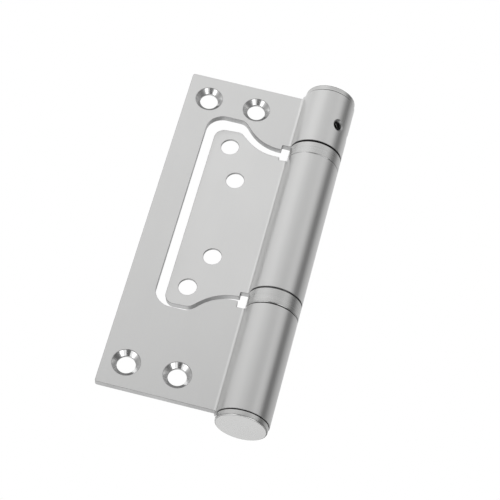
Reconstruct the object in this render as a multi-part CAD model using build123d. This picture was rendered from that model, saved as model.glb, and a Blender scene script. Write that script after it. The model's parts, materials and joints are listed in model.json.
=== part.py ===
from build123d import *
import math
import os

# Every size is in millimetres and every angle in degrees.
# The hinge axis is Z. The leaves reach towards -X and the side that the screws
# of the frame leaf enter faces -Y. Z is zero at the lower end face.

# Barrel, from the lower end upwards
barrel_radius = 9.0
cap_thickness = 1.95
cap_seam = 0.25
lower_knuckle_length = 39.1
lower_ring_space = 6.4
middle_knuckle_length = 54.0
upper_ring_space = 5.4
upper_knuckle_length = 21.7

# Leaf sheet and its curl
sheet_thickness = 2.4
leaf_reach = 49.0
leaf_end_setback = 0.9
leaf_corner_radius = 0.8
bend_radius = 1.2
curl_gap = 0.3
seam_relief = 0.1
curl_lip_radius = 0.6

# Cut-out of the frame leaf that the door leaf closes into
cutout_rim = 10.0
cutout_height = 77.6
cutout_neck_height = 61.6
cutout_drop = 0.3
cutout_corner_radius = 6.0
arm_shoulder_share = 0.537
arm_foot_share = 0.272
arm_shoulder_radius = 4.0
foot_sweep_share = 0.9
relief_width = 2.8
relief_root_gap = 0.3

# Door leaf inside the cut-out
side_slot = 3.0
end_slot = 3.1
neck_slot = 2.3
door_shoulder_share = 0.628
door_foot_share = 0.302
door_corner_radius = 3.5
door_shoulder_radius = 3.0
rest_overclose = 6.0
swing = 186.0

# Countersunk screw holes of both leaves
screw_hole_radius = 3.1
countersink_radius = 4.7
frame_far_edge = 8.0
frame_near_edge = 25.0
frame_hole_spacing = 106.8
door_far_edge = 6.5
door_near_edge = 11.6
door_far_spacing = 57.5
door_near_spacing = 31.2

# Fits
press_clearance = 0.02
running_clearance = 0.06
face_clearance = 0.1
ring_gap = 0.4
ring_chamfer = 0.25
slip_gap = 0.55
slip_washer_inset = 1.2
cut_overrun = 1.0
match_tolerance = 0.01

# Hydraulic cylinder
cylinder_wall = 1.34
cylinder_foot_height = 12.0
cylinder_top_overrun = 3.3
cylinder_edge = 0.3

# Lock screws in the upper knuckle
lock_screw_radius = 1.5
lock_screw_mouth_radius = 2.25
lock_screw_recess = 2.6
lock_screw_below_top = 12.55
lock_screw_angle = 37.0
lock_screw_spacing = 60.0
lock_screw_key = 1.5
lock_screw_key_depth = 1.5
lock_screw_point = 0.4

# Cam shaft
skirt_space = 1.3
stem_shoulder = 0.9
cam_lead = 27.0
cam_tip_land = 1.7
collar_wall_gap = 0.6
collar_height = 1.4
shaft_lead_in = 0.4
stem_flat_depth = 0.4
stem_flat_height = 6.0
stem_top_gap = 3.8
cross_pin_radius = 1.0
cross_pin_below_top = 7.0
cross_pin_inset = 0.2
cross_pin_edge = 0.25

# Caps
cap_undersize = 0.3
cap_edge_radius = 0.45
bottom_cap_shank = 6.6
bottom_cap_wall = 1.6
cap_lead_in = 0.4
top_cap_foot_gap = 0.4

# Thrust bearing inside the lower ring
thrust_ball_radius = 0.6
thrust_ball_count = 16
thrust_track_clearance = 0.05
thrust_ring_wall = 0.65
race_land = 0.4
cage_thickness = 0.5
cage_pocket_clearance = 0.05
cage_edge_gap = 0.07

# Gland at the cylinder's top
gland_height = 8.5
gland_recess = 0.5
gland_key_radius = 0.6
gland_key_depth = 1.6
shaft_seal_radius = 0.6
gland_seal_radius = 0.6
seal_groove_slack = 0.2
shaft_seal_rise = 2.6
gland_seal_rise = 6.0
slide_washer_thickness = 0.5

# Piston with its check valve
piston_head = 8.0
piston_top_gap = 1.5
piston_edge = 0.4
cam_ball_radius = 1.75
cam_ball_drop = 4.5
cam_tip_gap = 0.5
cam_groove_slack = 0.1
piston_seal_radius = 0.72
piston_seal_rise = 4.2
valve_inlet_radius = 0.9
valve_chamber_radius = 1.5
valve_inlet_length = 3.0
valve_ball_radius = 1.3
valve_seat_gap = 0.03
valve_spring_wire = 0.15
valve_spring_radius = 1.0
valve_spring_turns = 3.0
valve_clip_thickness = 0.8
valve_clip_hole = 0.6

# End plug, speed screw and retaining ring
clip_thickness = 1.0
clip_width = 1.2
clip_bite = 0.45
clip_offset = 1.0
clip_opening = 2.4
clip_groove_slack = 0.1
end_plug_length = 9.9
plug_seal_rise = 6.9
speed_screw_radius = 2.0
speed_screw_length = 5.0
speed_screw_inset = 0.5
speed_screw_key = 2.0
speed_screw_key_depth = 2.0
needle_root_radius = 1.0
needle_tip_radius = 0.3
needle_length = 3.2
needle_seat_radius = 1.0
needle_chamber_length = 5.9
needle_seal_radius = 0.3
needle_seal_rise = 3.9
bypass_radius = 0.5

# Return spring and its seat
spring_seat_thickness = 1.0
spring_seat_spigot = 2.0
spring_wire_radius = 0.75
spring_turns = 8.0
spring_wire_sides = 8
spring_wall_gap = 0.2
spigot_gap = 0.25

# Values that follow from the sizes above: heights along the barrel
lower_knuckle_z = cap_thickness + cap_seam
lower_ring_z = lower_knuckle_z + lower_knuckle_length
middle_knuckle_z = lower_ring_z + lower_ring_space
upper_ring_z = middle_knuckle_z + middle_knuckle_length
upper_knuckle_z = upper_ring_z + upper_ring_space
top_cap_z = upper_knuckle_z + upper_knuckle_length + cap_seam
hinge_length = top_cap_z + cap_thickness
leaf_mid_z = middle_knuckle_z + middle_knuckle_length / 2 - cutout_drop
frame_mid_z = hinge_length / 2

# Leaves
half_sheet = sheet_thickness / 2
relief_root = barrel_radius + relief_root_gap
relief_reach = barrel_radius + relief_width
beyond_barrel = 2 * barrel_radius
cutout_reach = leaf_reach - cutout_rim
door_reach = cutout_reach - side_slot
door_height = cutout_height - 2 * end_slot
door_neck_height = cutout_neck_height - 2 * neck_slot

# Radii from the knuckle bore inwards
knuckle_bore_radius = barrel_radius - sheet_thickness
cylinder_radius = knuckle_bore_radius - running_clearance
cylinder_bore = cylinder_radius - cylinder_wall
inner_radius = cylinder_bore - press_clearance
slide_radius = cylinder_bore - running_clearance
cam_radius = cylinder_bore - skirt_space
stem_radius = cam_radius - stem_shoulder
collar_radius = cylinder_bore - collar_wall_gap
stem_bore_radius = stem_radius + running_clearance
gland_key_reach = (stem_bore_radius + inner_radius) / 2
ball_orbit = cam_radius + press_clearance
cam_groove_radius = cam_ball_radius + cam_groove_slack

# The stack inside the cylinder, from the gland down to the piston's foot
cylinder_top_z = upper_ring_z + cylinder_top_overrun
cylinder_length = cylinder_top_z - cylinder_foot_height
gland_z = cylinder_top_z - gland_recess - gland_height
collar_top_z = gland_z - slide_washer_thickness - face_clearance
collar_foot_z = collar_top_z - collar_height
cam_travel = cam_lead * swing / 360
piston_skirt_z = collar_foot_z - piston_top_gap
cam_ball_z = piston_skirt_z - cam_ball_drop
groove_foot_z = cam_ball_z - cam_travel - cam_groove_radius
cam_tip_z = groove_foot_z - cam_tip_land
piston_cup_z = cam_tip_z - cam_tip_gap
piston_foot_z = piston_cup_z - piston_head
valve_seat_z = piston_foot_z + valve_inlet_length
valve_ball_rise = math.sqrt(valve_ball_radius**2 - valve_inlet_radius**2)
valve_ball_z = valve_seat_z + valve_ball_rise + valve_seat_gap

# The cylinder's foot and the upper knuckle
clip_z = cylinder_foot_height + clip_offset
end_plug_z = clip_z + clip_thickness + press_clearance
end_plug_top_z = end_plug_z + end_plug_length
spring_foot_z = end_plug_top_z + spring_seat_thickness
stem_top_z = top_cap_z - stem_top_gap
lock_screw_z = top_cap_z - lock_screw_below_top
cross_pin_z = top_cap_z - cross_pin_below_top


def ring(outer, inner, height, z):
    """A plain ring that stands on height z."""
    section = Circle(outer) - Circle(inner)
    return Pos(0, 0, z) * extrude(section, height)


def rod(radius, height, z):
    """A plain rod that stands on height z."""
    return Pos(0, 0, z) * extrude(Circle(radius), height)


def radial(angle, z, reach=0):
    """A place whose Z axis points away from the hinge axis, angle from -Y towards +X."""
    return Pos(0, 0, z) * Rot(0, 0, angle) * Rot(90, 0, 0) * Pos(0, 0, reach)


def seal_ring(mid_radius, wire, z):
    return Pos(0, 0, z) * Torus(mid_radius, wire)


def at_rest(shape):
    """The door side as the photograph shows it, closed past the leaf plane."""
    return Rot(0, 0, -rest_overclose) * shape


def sheet_profile():
    """Cross-section of a leaf that is rolled into its knuckle, with the curl's gap at the back."""
    leaf_centre_x = -leaf_reach / 2
    strip = Pos(leaf_centre_x, 0) * Rectangle(leaf_reach, sheet_thickness)
    bend_y = -(half_sheet + bend_radius)
    bend_x = -math.sqrt((barrel_radius + bend_radius) ** 2 - bend_y**2)
    touch = barrel_radius / (barrel_radius + bend_radius)
    corner = Polyline(
        (bend_x, -half_sheet),
        (0, -half_sheet),
        (bend_x * touch, bend_y * touch),
        close=True,
    )
    web = make_face(corner) - Pos(bend_x, bend_y) * Circle(bend_radius)
    section = strip + Circle(barrel_radius) + web - Circle(knuckle_bore_radius)
    slot_length = barrel_radius - knuckle_bore_radius + 2 * curl_gap + half_sheet
    slot_height = curl_gap + seam_relief
    slot_x = -barrel_radius + slot_length / 2 - curl_gap
    slot_top = half_sheet + curl_gap
    slot = Pos(slot_x, slot_top - slot_height / 2) * Rectangle(slot_length, slot_height)
    section = section - slot
    lip = section.vertices().filter_by(lambda v: abs(v.Y - slot_top) < match_tolerance)
    return fillet(lip.sort_by(Axis.X)[0], curl_lip_radius)


def leaf_outline(points, radii):
    """An outline in the leaf plane, made thick enough to cut the barrel too."""
    path = FilletPolyline(*points, radius=radii, close=True)
    face = make_face(Plane.XZ * path)
    return extrude(face, beyond_barrel, both=True)


def arm_points(reach, shares, height, neck_height, root_low, root_high):
    """Corners of a stepped tab outline, from the lower knuckle edge round to the upper one."""
    foot, shoulder = (relief_reach + share * (reach - relief_reach) for share in shares)
    low = leaf_mid_z - height / 2
    high = leaf_mid_z + height / 2
    neck_low = leaf_mid_z - neck_height / 2
    neck_high = leaf_mid_z + neck_height / 2
    return [
        (-relief_reach, root_low),
        (-relief_reach, neck_low),
        (-foot, neck_low),
        (-shoulder, low),
        (-reach, low),
        (-reach, high),
        (-shoulder, high),
        (-foot, neck_high),
        (-relief_reach, neck_high),
        (-relief_reach, root_high),
    ]


def foot_radius(points):
    """The sweep from neck to shoulder takes most of the neck's straight part."""
    relief, foot, shoulder = points[1:4]
    slope = math.atan2(foot[1] - shoulder[1], foot[0] - shoulder[0])
    return foot_sweep_share * (relief[0] - foot[0]) / math.tan(slope / 2)


def arm_outline(points, root_low, root_high, corner, shoulder):
    """A tab outline with its rounded corners, closed past the barrel."""
    half = [relief_root_gap, relief_root_gap, foot_radius(points), shoulder, corner]
    ends = [(beyond_barrel, root_high), (beyond_barrel, root_low)]
    return leaf_outline(points + ends, half + half[::-1] + [relief_root_gap] * 2)


def cutout():
    """What is punched out of the frame leaf between its two knuckles."""
    root_low = lower_ring_z
    root_high = upper_knuckle_z
    shares = (arm_foot_share, arm_shoulder_share)
    points = arm_points(
        cutout_reach, shares, cutout_height, cutout_neck_height, root_low, root_high
    )
    return arm_outline(points, root_low, root_high, cutout_corner_radius, arm_shoulder_radius)


def door_blank():
    """Outline of the door leaf with its middle knuckle."""
    root_low = middle_knuckle_z
    root_high = upper_ring_z
    shares = (door_foot_share, door_shoulder_share)
    points = arm_points(door_reach, shares, door_height, door_neck_height, root_low, root_high)
    return arm_outline(points, root_low, root_high, door_corner_radius, door_shoulder_radius)


def frame_blank():
    """Outline of the frame leaf before the cut-out: the knuckles stand a little past the leaf."""
    low = lower_knuckle_z + leaf_end_setback
    high = hinge_length - low
    knuckle_low = lower_knuckle_z
    knuckle_high = hinge_length - knuckle_low
    points = [
        (-leaf_reach, low),
        (-relief_root, low),
        (-relief_root, knuckle_low),
        (beyond_barrel, knuckle_low),
        (beyond_barrel, knuckle_high),
        (-relief_root, knuckle_high),
        (-relief_root, high),
        (-leaf_reach, high),
    ]
    step = relief_root_gap
    radii = [leaf_corner_radius, step, step, step, step, step, step, leaf_corner_radius]
    return leaf_outline(points, radii)


def screw_hole(reach, z, side):
    """A countersunk hole; side is -1 where the head enters from -Y and 1 from +Y."""
    sink_depth = countersink_radius - screw_hole_radius
    through = Cylinder(screw_hole_radius, 2 * sheet_thickness)
    sink = Pos(0, 0, half_sheet - sink_depth / 2) * Cone(
        screw_hole_radius, countersink_radius, sink_depth
    )
    turn = 90 if side < 0 else -90
    return Pos(-reach, 0, z) * Rot(turn, 0, 0) * (through + sink)


def frame_leaf():
    body = Pos(0, 0, lower_knuckle_z) * extrude(sheet_profile(), hinge_length)
    body = body & frame_blank()
    body = body - cutout()
    for edge in (frame_far_edge, frame_near_edge):
        for z in (frame_mid_z - frame_hole_spacing / 2, frame_mid_z + frame_hole_spacing / 2):
            body = body - screw_hole(leaf_reach - edge, z, -1)
    for angle in lock_angles():
        body = body - radial(angle, lock_screw_z) * lock_screw_cut()
    return body


def door_leaf():
    body = Pos(0, 0, lower_knuckle_z) * extrude(sheet_profile(), hinge_length)
    body = body & door_blank()
    pairs = ((door_far_edge, door_far_spacing), (door_near_edge, door_near_spacing))
    door_screw_mid = leaf_mid_z + cutout_drop
    for edge, spacing in pairs:
        for z in (door_screw_mid - spacing / 2, door_screw_mid + spacing / 2):
            body = body - screw_hole(door_reach - edge, z, 1)
    return body


def lock_angles():
    return (lock_screw_angle, lock_screw_angle + lock_screw_spacing)


def lock_screw_cut():
    """Hole for a lock screw, with a mouth that opens towards the knuckle's outside."""
    hole_radius = lock_screw_radius + running_clearance
    hole = extrude(Circle(hole_radius), beyond_barrel)
    mouth_depth = lock_screw_mouth_radius - hole_radius
    mouth = Cone(hole_radius, lock_screw_mouth_radius, mouth_depth)
    return hole + Pos(0, 0, barrel_radius - mouth_depth / 2) * mouth


def lock_screws():
    """Two set screws with a hexagon socket and a chamfered point."""
    point_reach = stem_radius - stem_flat_depth + press_clearance
    length = barrel_radius - lock_screw_recess - point_reach
    screw = extrude(Circle(lock_screw_radius), length)
    screw = chamfer(screw.faces().sort_by(Axis.Z)[0].edges(), lock_screw_point)
    socket = extrude(
        RegularPolygon(lock_screw_key / 2, 6, major_radius=False), lock_screw_key_depth
    )
    screw = screw - Pos(0, 0, length - lock_screw_key_depth) * socket
    return Compound([radial(angle, lock_screw_z, point_reach) * screw for angle in lock_angles()])


def top_cap():
    """Flanged plug that holds the cam shaft's stem in the upper knuckle."""
    flange = rod(barrel_radius - cap_undersize, cap_thickness, top_cap_z)
    flange = fillet(flange.edges().sort_by(Axis.Z)[-1], cap_edge_radius)
    foot_z = upper_knuckle_z + top_cap_foot_gap
    shank = rod(knuckle_bore_radius - press_clearance, top_cap_z - foot_z, foot_z)
    shank = chamfer(shank.edges().sort_by(Axis.Z)[0], cap_lead_in)
    stem_bore = rod(stem_radius + press_clearance, stem_top_z - foot_z + face_clearance, foot_z)
    cap = flange + shank - stem_bore
    for angle in lock_angles():
        place = radial(angle, lock_screw_z)
        cap = cap - extrude(place * Circle(lock_screw_radius + press_clearance), barrel_radius)
    return cap - cross_pin_hole()


def cross_pin_hole():
    hole = Cylinder(cross_pin_radius + press_clearance, 2 * knuckle_bore_radius)
    return Pos(0, 0, cross_pin_z) * Rot(90, 0, 0) * hole


def cross_pin():
    length = 2 * (knuckle_bore_radius - cross_pin_inset)
    pin = Cylinder(cross_pin_radius, length)
    pin = chamfer(pin.edges().filter_by(GeomType.CIRCLE), cross_pin_edge)
    return Pos(0, 0, cross_pin_z) * Rot(90, 0, 0) * pin


def bottom_cap():
    """Flanged cup that covers the speed screw in the lower knuckle."""
    flange = rod(barrel_radius - cap_undersize, cap_thickness, 0)
    flange = fillet(flange.edges().sort_by(Axis.Z)[0], cap_edge_radius)
    shank_radius = knuckle_bore_radius - press_clearance
    shank = rod(shank_radius, bottom_cap_shank, cap_thickness)
    shank = chamfer(shank.edges().sort_by(Axis.Z)[-1], cap_lead_in)
    hollow = rod(shank_radius - bottom_cap_wall, bottom_cap_shank, cap_thickness)
    return flange + shank - hollow


def cam_groove():
    """One helical ball groove: it falls by the piston's travel as the door side opens."""
    low_z = cam_ball_z - cam_travel
    path = Helix(cam_lead, cam_travel, ball_orbit, lefthand=True)
    section = Plane(origin=path @ 0, z_dir=path % 0) * Circle(cam_groove_radius)
    groove = sweep(section, path=path, is_frenet=True)
    for end in (0, 1):
        groove = groove + Pos(*(path @ end)) * Sphere(cam_groove_radius)
    return Pos(0, 0, low_z) * Rot(0, 0, swing - rest_overclose) * groove


def cam_shaft():
    """Stem, retaining collar and the cam with two opposite ball grooves."""
    shaft = rod(stem_radius, stem_top_z - gland_z, gland_z)
    shaft = chamfer(shaft.edges().sort_by(Axis.Z)[-1], shaft_lead_in)
    shaft = shaft + rod(stem_radius, gland_z - collar_top_z, collar_top_z)
    shaft = shaft + rod(collar_radius, collar_height, collar_foot_z)
    cam = rod(cam_radius, collar_foot_z - cam_tip_z, cam_tip_z)
    cam = chamfer(cam.edges().sort_by(Axis.Z)[0], shaft_lead_in)
    groove = cam_groove()
    shaft = shaft + cam - groove - Rot(0, 0, 180) * groove
    for angle in lock_angles():
        place = radial(angle, lock_screw_z, stem_radius - stem_flat_depth)
        shaft = shaft - extrude(place * Rectangle(stem_radius * 2, stem_flat_height), stem_radius)
    return shaft - cross_pin_hole()


def cylinder_tube():
    """Oil cylinder with two straight ball grooves and the retaining ring's groove."""
    tube = ring(cylinder_radius, cylinder_bore, cylinder_length, cylinder_foot_height)
    rims = tube.edges().filter_by(GeomType.CIRCLE)
    rims = rims.filter_by(lambda e: abs(e.radius - cylinder_radius) < press_clearance)
    tube = chamfer(rims, cylinder_edge)
    run = cam_travel + 2 * cam_groove_radius
    for side in (-1, 1):
        tube = tube - Pos(side * ball_orbit, 0, 0) * rod(cam_groove_radius, run, groove_foot_z)
    clip_groove = ring(
        cylinder_bore + clip_bite + clip_groove_slack,
        inner_radius,
        clip_thickness + 2 * clip_groove_slack,
        clip_z - clip_groove_slack,
    )
    return tube - clip_groove


def retaining_ring():
    """Open spring ring that holds the end plug in the cylinder."""
    outer = cylinder_bore + clip_bite
    body = ring(outer, outer - clip_width, clip_thickness, clip_z)
    mouth_height = clip_thickness + 2 * cut_overrun
    mouth = Pos(0, -outer, clip_z + clip_thickness / 2) * Box(clip_opening, outer, mouth_height)
    return body - mouth


def seal_groove(outer, inner, wire, z):
    height = 2 * (wire + seal_groove_slack)
    return ring(outer, inner, height, z - height / 2)


def end_plug():
    """Closes the cylinder's foot and carries the speed screw."""
    plug = rod(inner_radius, end_plug_length, end_plug_z)
    rims = plug.edges().filter_by(GeomType.CIRCLE)
    plug = chamfer(rims, cylinder_edge)
    seal_mid = inner_radius - piston_seal_radius
    groove = seal_groove(
        cylinder_bore + cut_overrun,
        seal_mid - piston_seal_radius - press_clearance,
        piston_seal_radius,
        end_plug_z + plug_seal_rise,
    )
    screw_bore = rod(speed_screw_radius + running_clearance, needle_chamber_length, end_plug_z)
    seat = rod(needle_seat_radius, end_plug_length, end_plug_z)
    port_z = end_plug_top_z - 2 * bypass_radius
    port = extrude(radial(0, port_z) * Circle(bypass_radius), cylinder_bore)
    return plug - groove - screw_bore - seat - port


def plug_seal():
    mid = inner_radius - piston_seal_radius
    return seal_ring(mid, piston_seal_radius, end_plug_z + plug_seal_rise)


def speed_screw():
    """Needle screw that throttles the oil; its hexagon socket faces down to the cap."""
    foot_z = end_plug_z + speed_screw_inset
    body = rod(speed_screw_radius, speed_screw_length, foot_z)
    top_z = foot_z + speed_screw_length
    needle = Pos(0, 0, top_z + needle_length / 2) * Cone(
        needle_root_radius, needle_tip_radius, needle_length
    )
    shape = RegularPolygon(speed_screw_key / 2, 6, major_radius=False)
    socket = Pos(0, 0, foot_z) * extrude(shape, speed_screw_key_depth)
    groove = seal_groove(
        speed_screw_radius + cut_overrun,
        speed_screw_radius - 2 * needle_seal_radius,
        needle_seal_radius,
        end_plug_z + needle_seal_rise,
    )
    return body + needle - socket - groove


def needle_seal():
    mid = speed_screw_radius - needle_seal_radius + press_clearance
    return seal_ring(mid, needle_seal_radius, end_plug_z + needle_seal_rise)


def spring_seat():
    """Washer with a spigot that centres the return spring."""
    washer = ring(inner_radius, needle_seat_radius, spring_seat_thickness, end_plug_top_z)
    spring_mid = cylinder_bore - spring_wall_gap - spring_wire_radius
    spigot_radius = spring_mid - spring_wire_radius - spigot_gap
    spigot = ring(spigot_radius, needle_seat_radius, spring_seat_spigot, spring_foot_z)
    return washer + spigot


def coil(mid_radius, wire, turns, low_z, high_z):
    """A helical wire that fills the height between two faces."""
    rise = high_z - low_z - 2 * wire
    path = Helix(rise / turns, rise, mid_radius)
    section = Plane(origin=path @ 0, z_dir=path % 0) * RegularPolygon(wire, spring_wire_sides)
    return Pos(0, 0, low_z + wire) * sweep(section, path=path, is_frenet=True)


def return_spring():
    mid = cylinder_bore - spring_wall_gap - spring_wire_radius
    return coil(mid, spring_wire_radius, spring_turns, spring_foot_z, piston_foot_z)


def piston():
    """Head with the check valve and a skirt that carries the cam balls."""
    body = rod(slide_radius, piston_skirt_z - piston_foot_z, piston_foot_z)
    body = chamfer(body.edges().filter_by(GeomType.CIRCLE), piston_edge)
    cup = rod(cam_radius + running_clearance, piston_skirt_z - piston_cup_z, piston_cup_z)
    chamber = rod(valve_chamber_radius, piston_cup_z - valve_seat_z, valve_seat_z)
    inlet = rod(valve_inlet_radius, valve_inlet_length, piston_foot_z)
    seal_mid = slide_radius - piston_seal_radius
    groove = seal_groove(
        cylinder_bore + cut_overrun,
        seal_mid - piston_seal_radius - press_clearance,
        piston_seal_radius,
        piston_foot_z + piston_seal_rise,
    )
    pocket = Pos(0, 0, cam_ball_z) * Rot(0, 90, 0)
    pockets = pocket * Cylinder(cam_ball_radius + running_clearance, beyond_barrel)
    return body - cup - chamber - inlet - groove - pockets


def cam_balls():
    ball = Sphere(cam_ball_radius)
    return Compound([Pos(side * ball_orbit, 0, cam_ball_z) * ball for side in (-1, 1)])


def piston_seal():
    mid = slide_radius - piston_seal_radius
    return seal_ring(mid, piston_seal_radius, piston_foot_z + piston_seal_rise)


def check_ball():
    return Pos(0, 0, valve_ball_z) * Sphere(valve_ball_radius)


def valve_spring_foot():
    """Height at which the small spring's wire rests on the ball."""
    reach = valve_ball_radius + valve_spring_wire
    return valve_ball_z + math.sqrt(reach**2 - valve_spring_radius**2) - valve_spring_wire


def check_spring():
    top = piston_cup_z - valve_clip_thickness
    foot = valve_spring_foot() + valve_seat_gap
    return coil(valve_spring_radius, valve_spring_wire, valve_spring_turns, foot, top)


def check_retainer():
    outer = valve_chamber_radius - press_clearance
    return ring(outer, valve_clip_hole, valve_clip_thickness, piston_cup_z - valve_clip_thickness)


def gland_nut():
    """Threaded gland that closes the cylinder round the cam shaft's stem."""
    body = ring(inner_radius, stem_bore_radius, gland_height, gland_z)
    shaft_groove = seal_groove(
        stem_bore_radius + 2 * shaft_seal_radius + press_clearance,
        stem_radius,
        shaft_seal_radius,
        gland_z + shaft_seal_rise,
    )
    outer_groove = seal_groove(
        cylinder_bore + cut_overrun,
        inner_radius - 2 * gland_seal_radius - press_clearance,
        gland_seal_radius,
        gland_z + gland_seal_rise,
    )
    body = body - shaft_groove - outer_groove
    key_z = gland_z + gland_height - gland_key_depth
    for side in (-1, 1):
        hole = Pos(0, side * gland_key_reach, 0) * rod(gland_key_radius, gland_key_depth, key_z)
        body = body - hole
    return body


def shaft_seal():
    mid = stem_bore_radius + shaft_seal_radius
    return seal_ring(mid, shaft_seal_radius, gland_z + shaft_seal_rise)


def gland_seal():
    mid = inner_radius - gland_seal_radius
    return seal_ring(mid, gland_seal_radius, gland_z + gland_seal_rise)


def slide_washer():
    """Plastic washer between the shaft's collar and the gland."""
    inner = stem_bore_radius
    return ring(inner_radius, inner, slide_washer_thickness, gland_z - slide_washer_thickness)


def upper_ring():
    """Wear ring between the middle and the upper knuckle."""
    height = upper_ring_space - slip_gap
    body = ring(barrel_radius, knuckle_bore_radius, height, upper_ring_z)
    return chamfer_rims(body)


def slip_washer():
    """Thin plastic washer that shows as the dark line over the upper ring."""
    outer = barrel_radius - slip_washer_inset
    height = slip_gap - press_clearance
    return ring(outer, knuckle_bore_radius, height, upper_knuckle_z - slip_gap)


def chamfer_rims(body):
    """Breaks the outer rims of a ring."""
    rims = body.edges().filter_by(GeomType.CIRCLE)
    rims = rims.filter_by(lambda e: abs(e.radius - barrel_radius) < press_clearance)
    return chamfer(rims, ring_chamfer)


def lower_ring():
    """Sleeve round the thrust bearing between the lower and the middle knuckle."""
    height = lower_ring_space - 2 * ring_gap
    inner = barrel_radius - thrust_ring_wall
    return chamfer_rims(ring(barrel_radius, inner, height, lower_ring_z + ring_gap))


def thrust_mid():
    """Orbit of the thrust balls and the height of their centres."""
    outer = barrel_radius - thrust_ring_wall
    orbit = (outer + knuckle_bore_radius) / 2
    return orbit, lower_ring_z + lower_ring_space / 2


def thrust_race(low_z, high_z, outer):
    orbit, mid_z = thrust_mid()
    body = ring(outer, knuckle_bore_radius, high_z - low_z, low_z)
    return body - seal_ring(orbit, thrust_ball_radius + thrust_track_clearance, mid_z)


def lower_race():
    mid_z = thrust_mid()[1]
    outer = barrel_radius - thrust_ring_wall - face_clearance
    return thrust_race(lower_ring_z, mid_z - race_land, outer)


def upper_race():
    mid_z = thrust_mid()[1]
    outer = barrel_radius - thrust_ring_wall - press_clearance
    return thrust_race(mid_z + race_land, middle_knuckle_z, outer)


def thrust_places():
    orbit, mid_z = thrust_mid()
    step = 360 / thrust_ball_count
    return [Pos(0, 0, mid_z) * Rot(0, 0, step * i) * Pos(orbit, 0, 0) for i in range(thrust_ball_count)]


def thrust_balls():
    return Compound([place * Sphere(thrust_ball_radius) for place in thrust_places()])


def ball_cage():
    """Plastic ring that spaces the thrust balls."""
    mid_z = thrust_mid()[1]
    outer = barrel_radius - thrust_ring_wall - cage_edge_gap
    inner = knuckle_bore_radius + cage_edge_gap
    body = ring(outer, inner, cage_thickness, mid_z - cage_thickness / 2)
    for place in thrust_places():
        body = body - place * Cylinder(thrust_ball_radius + cage_pocket_clearance, 2 * cage_thickness)
    return body


frame_side = {
    "frame_leaf": frame_leaf,
    "top_cap": top_cap,
    "cam_shaft": cam_shaft,
    "lock_screws": lock_screws,
    "cross_pin": cross_pin,
    "bottom_cap": bottom_cap,
    "lower_race": lower_race,
    "thrust_balls": thrust_balls,
    "ball_cage": ball_cage,
}

door_side = {
    "door_leaf": door_leaf,
    "cylinder_tube": cylinder_tube,
    "lower_ring": lower_ring,
    "upper_race": upper_race,
    "upper_ring": upper_ring,
    "slip_washer": slip_washer,
    "gland_nut": gland_nut,
    "shaft_seal": shaft_seal,
    "gland_seal": gland_seal,
    "slide_washer": slide_washer,
    "end_plug": end_plug,
    "plug_seal": plug_seal,
    "retaining_ring": retaining_ring,
    "speed_screw": speed_screw,
    "needle_seal": needle_seal,
    "spring_seat": spring_seat,
    "return_spring": return_spring,
    "piston": piston,
    "piston_seal": piston_seal,
    "cam_balls": cam_balls,
    "check_ball": check_ball,
    "check_spring": check_spring,
    "check_retainer": check_retainer,
}

os.makedirs("parts", exist_ok=True)
for name, make in frame_side.items():
    export_step(make(), f"parts/{name}.step")
for name, make in door_side.items():
    export_step(at_rest(make()), f"parts/{name}.step")
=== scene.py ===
import json
import math

import bmesh
import bpy
from bpy.props import FloatProperty, FloatVectorProperty, IntProperty, PointerProperty
from mathutils import Matrix, Vector

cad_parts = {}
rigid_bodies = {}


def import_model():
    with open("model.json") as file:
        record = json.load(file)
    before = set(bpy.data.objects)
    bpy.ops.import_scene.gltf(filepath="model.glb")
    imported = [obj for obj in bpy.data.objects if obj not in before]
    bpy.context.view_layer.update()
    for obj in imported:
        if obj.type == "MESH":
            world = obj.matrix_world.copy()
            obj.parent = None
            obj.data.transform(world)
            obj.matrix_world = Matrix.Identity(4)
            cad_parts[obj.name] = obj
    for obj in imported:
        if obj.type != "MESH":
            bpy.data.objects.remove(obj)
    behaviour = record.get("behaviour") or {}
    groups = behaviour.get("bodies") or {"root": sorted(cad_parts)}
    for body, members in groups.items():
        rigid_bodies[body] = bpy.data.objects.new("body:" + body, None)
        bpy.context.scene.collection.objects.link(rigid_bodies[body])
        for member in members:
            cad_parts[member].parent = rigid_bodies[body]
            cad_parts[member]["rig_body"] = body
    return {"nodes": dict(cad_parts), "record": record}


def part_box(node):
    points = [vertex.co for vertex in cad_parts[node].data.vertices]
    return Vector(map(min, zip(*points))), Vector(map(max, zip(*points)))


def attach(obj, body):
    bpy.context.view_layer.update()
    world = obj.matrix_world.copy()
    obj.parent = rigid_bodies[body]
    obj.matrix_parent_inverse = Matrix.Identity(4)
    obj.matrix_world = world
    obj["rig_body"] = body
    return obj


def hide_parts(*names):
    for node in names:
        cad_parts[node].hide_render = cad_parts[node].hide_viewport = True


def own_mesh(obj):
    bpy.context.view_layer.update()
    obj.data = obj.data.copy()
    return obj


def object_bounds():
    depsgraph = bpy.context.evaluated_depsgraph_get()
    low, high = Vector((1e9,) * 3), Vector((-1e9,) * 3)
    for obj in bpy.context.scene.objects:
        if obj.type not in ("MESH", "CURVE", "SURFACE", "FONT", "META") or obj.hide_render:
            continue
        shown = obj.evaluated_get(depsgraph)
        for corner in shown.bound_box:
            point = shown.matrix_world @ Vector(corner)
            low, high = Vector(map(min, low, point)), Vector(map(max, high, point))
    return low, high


bl_info = {
    "name": "Concealed hydraulic door hinge",
    "version": (1, 0, 0),
    "blender": (4, 5, 0),
    "location": "View3D > Sidebar > Hinge",
    "description": "Finishes the hinge's pieces and sets up its studio",
    "category": "Object",
}

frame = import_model()
CAD_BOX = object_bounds()

MM = 0.001
WELD_DISTANCE = 0.0005 * MM
FLAT_ANGLE = math.radians(0.05)
SMOOTH_ANGLE = math.radians(28)
EXACT_FACING = 0.9999
ROUND_FACING = 0.99
EDGE_SEGMENTS = 3
HINGE_AXIS = (0.0, 0.0, 1.0)
WHITE = (1.0, 1.0, 1.0, 1.0)


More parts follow.
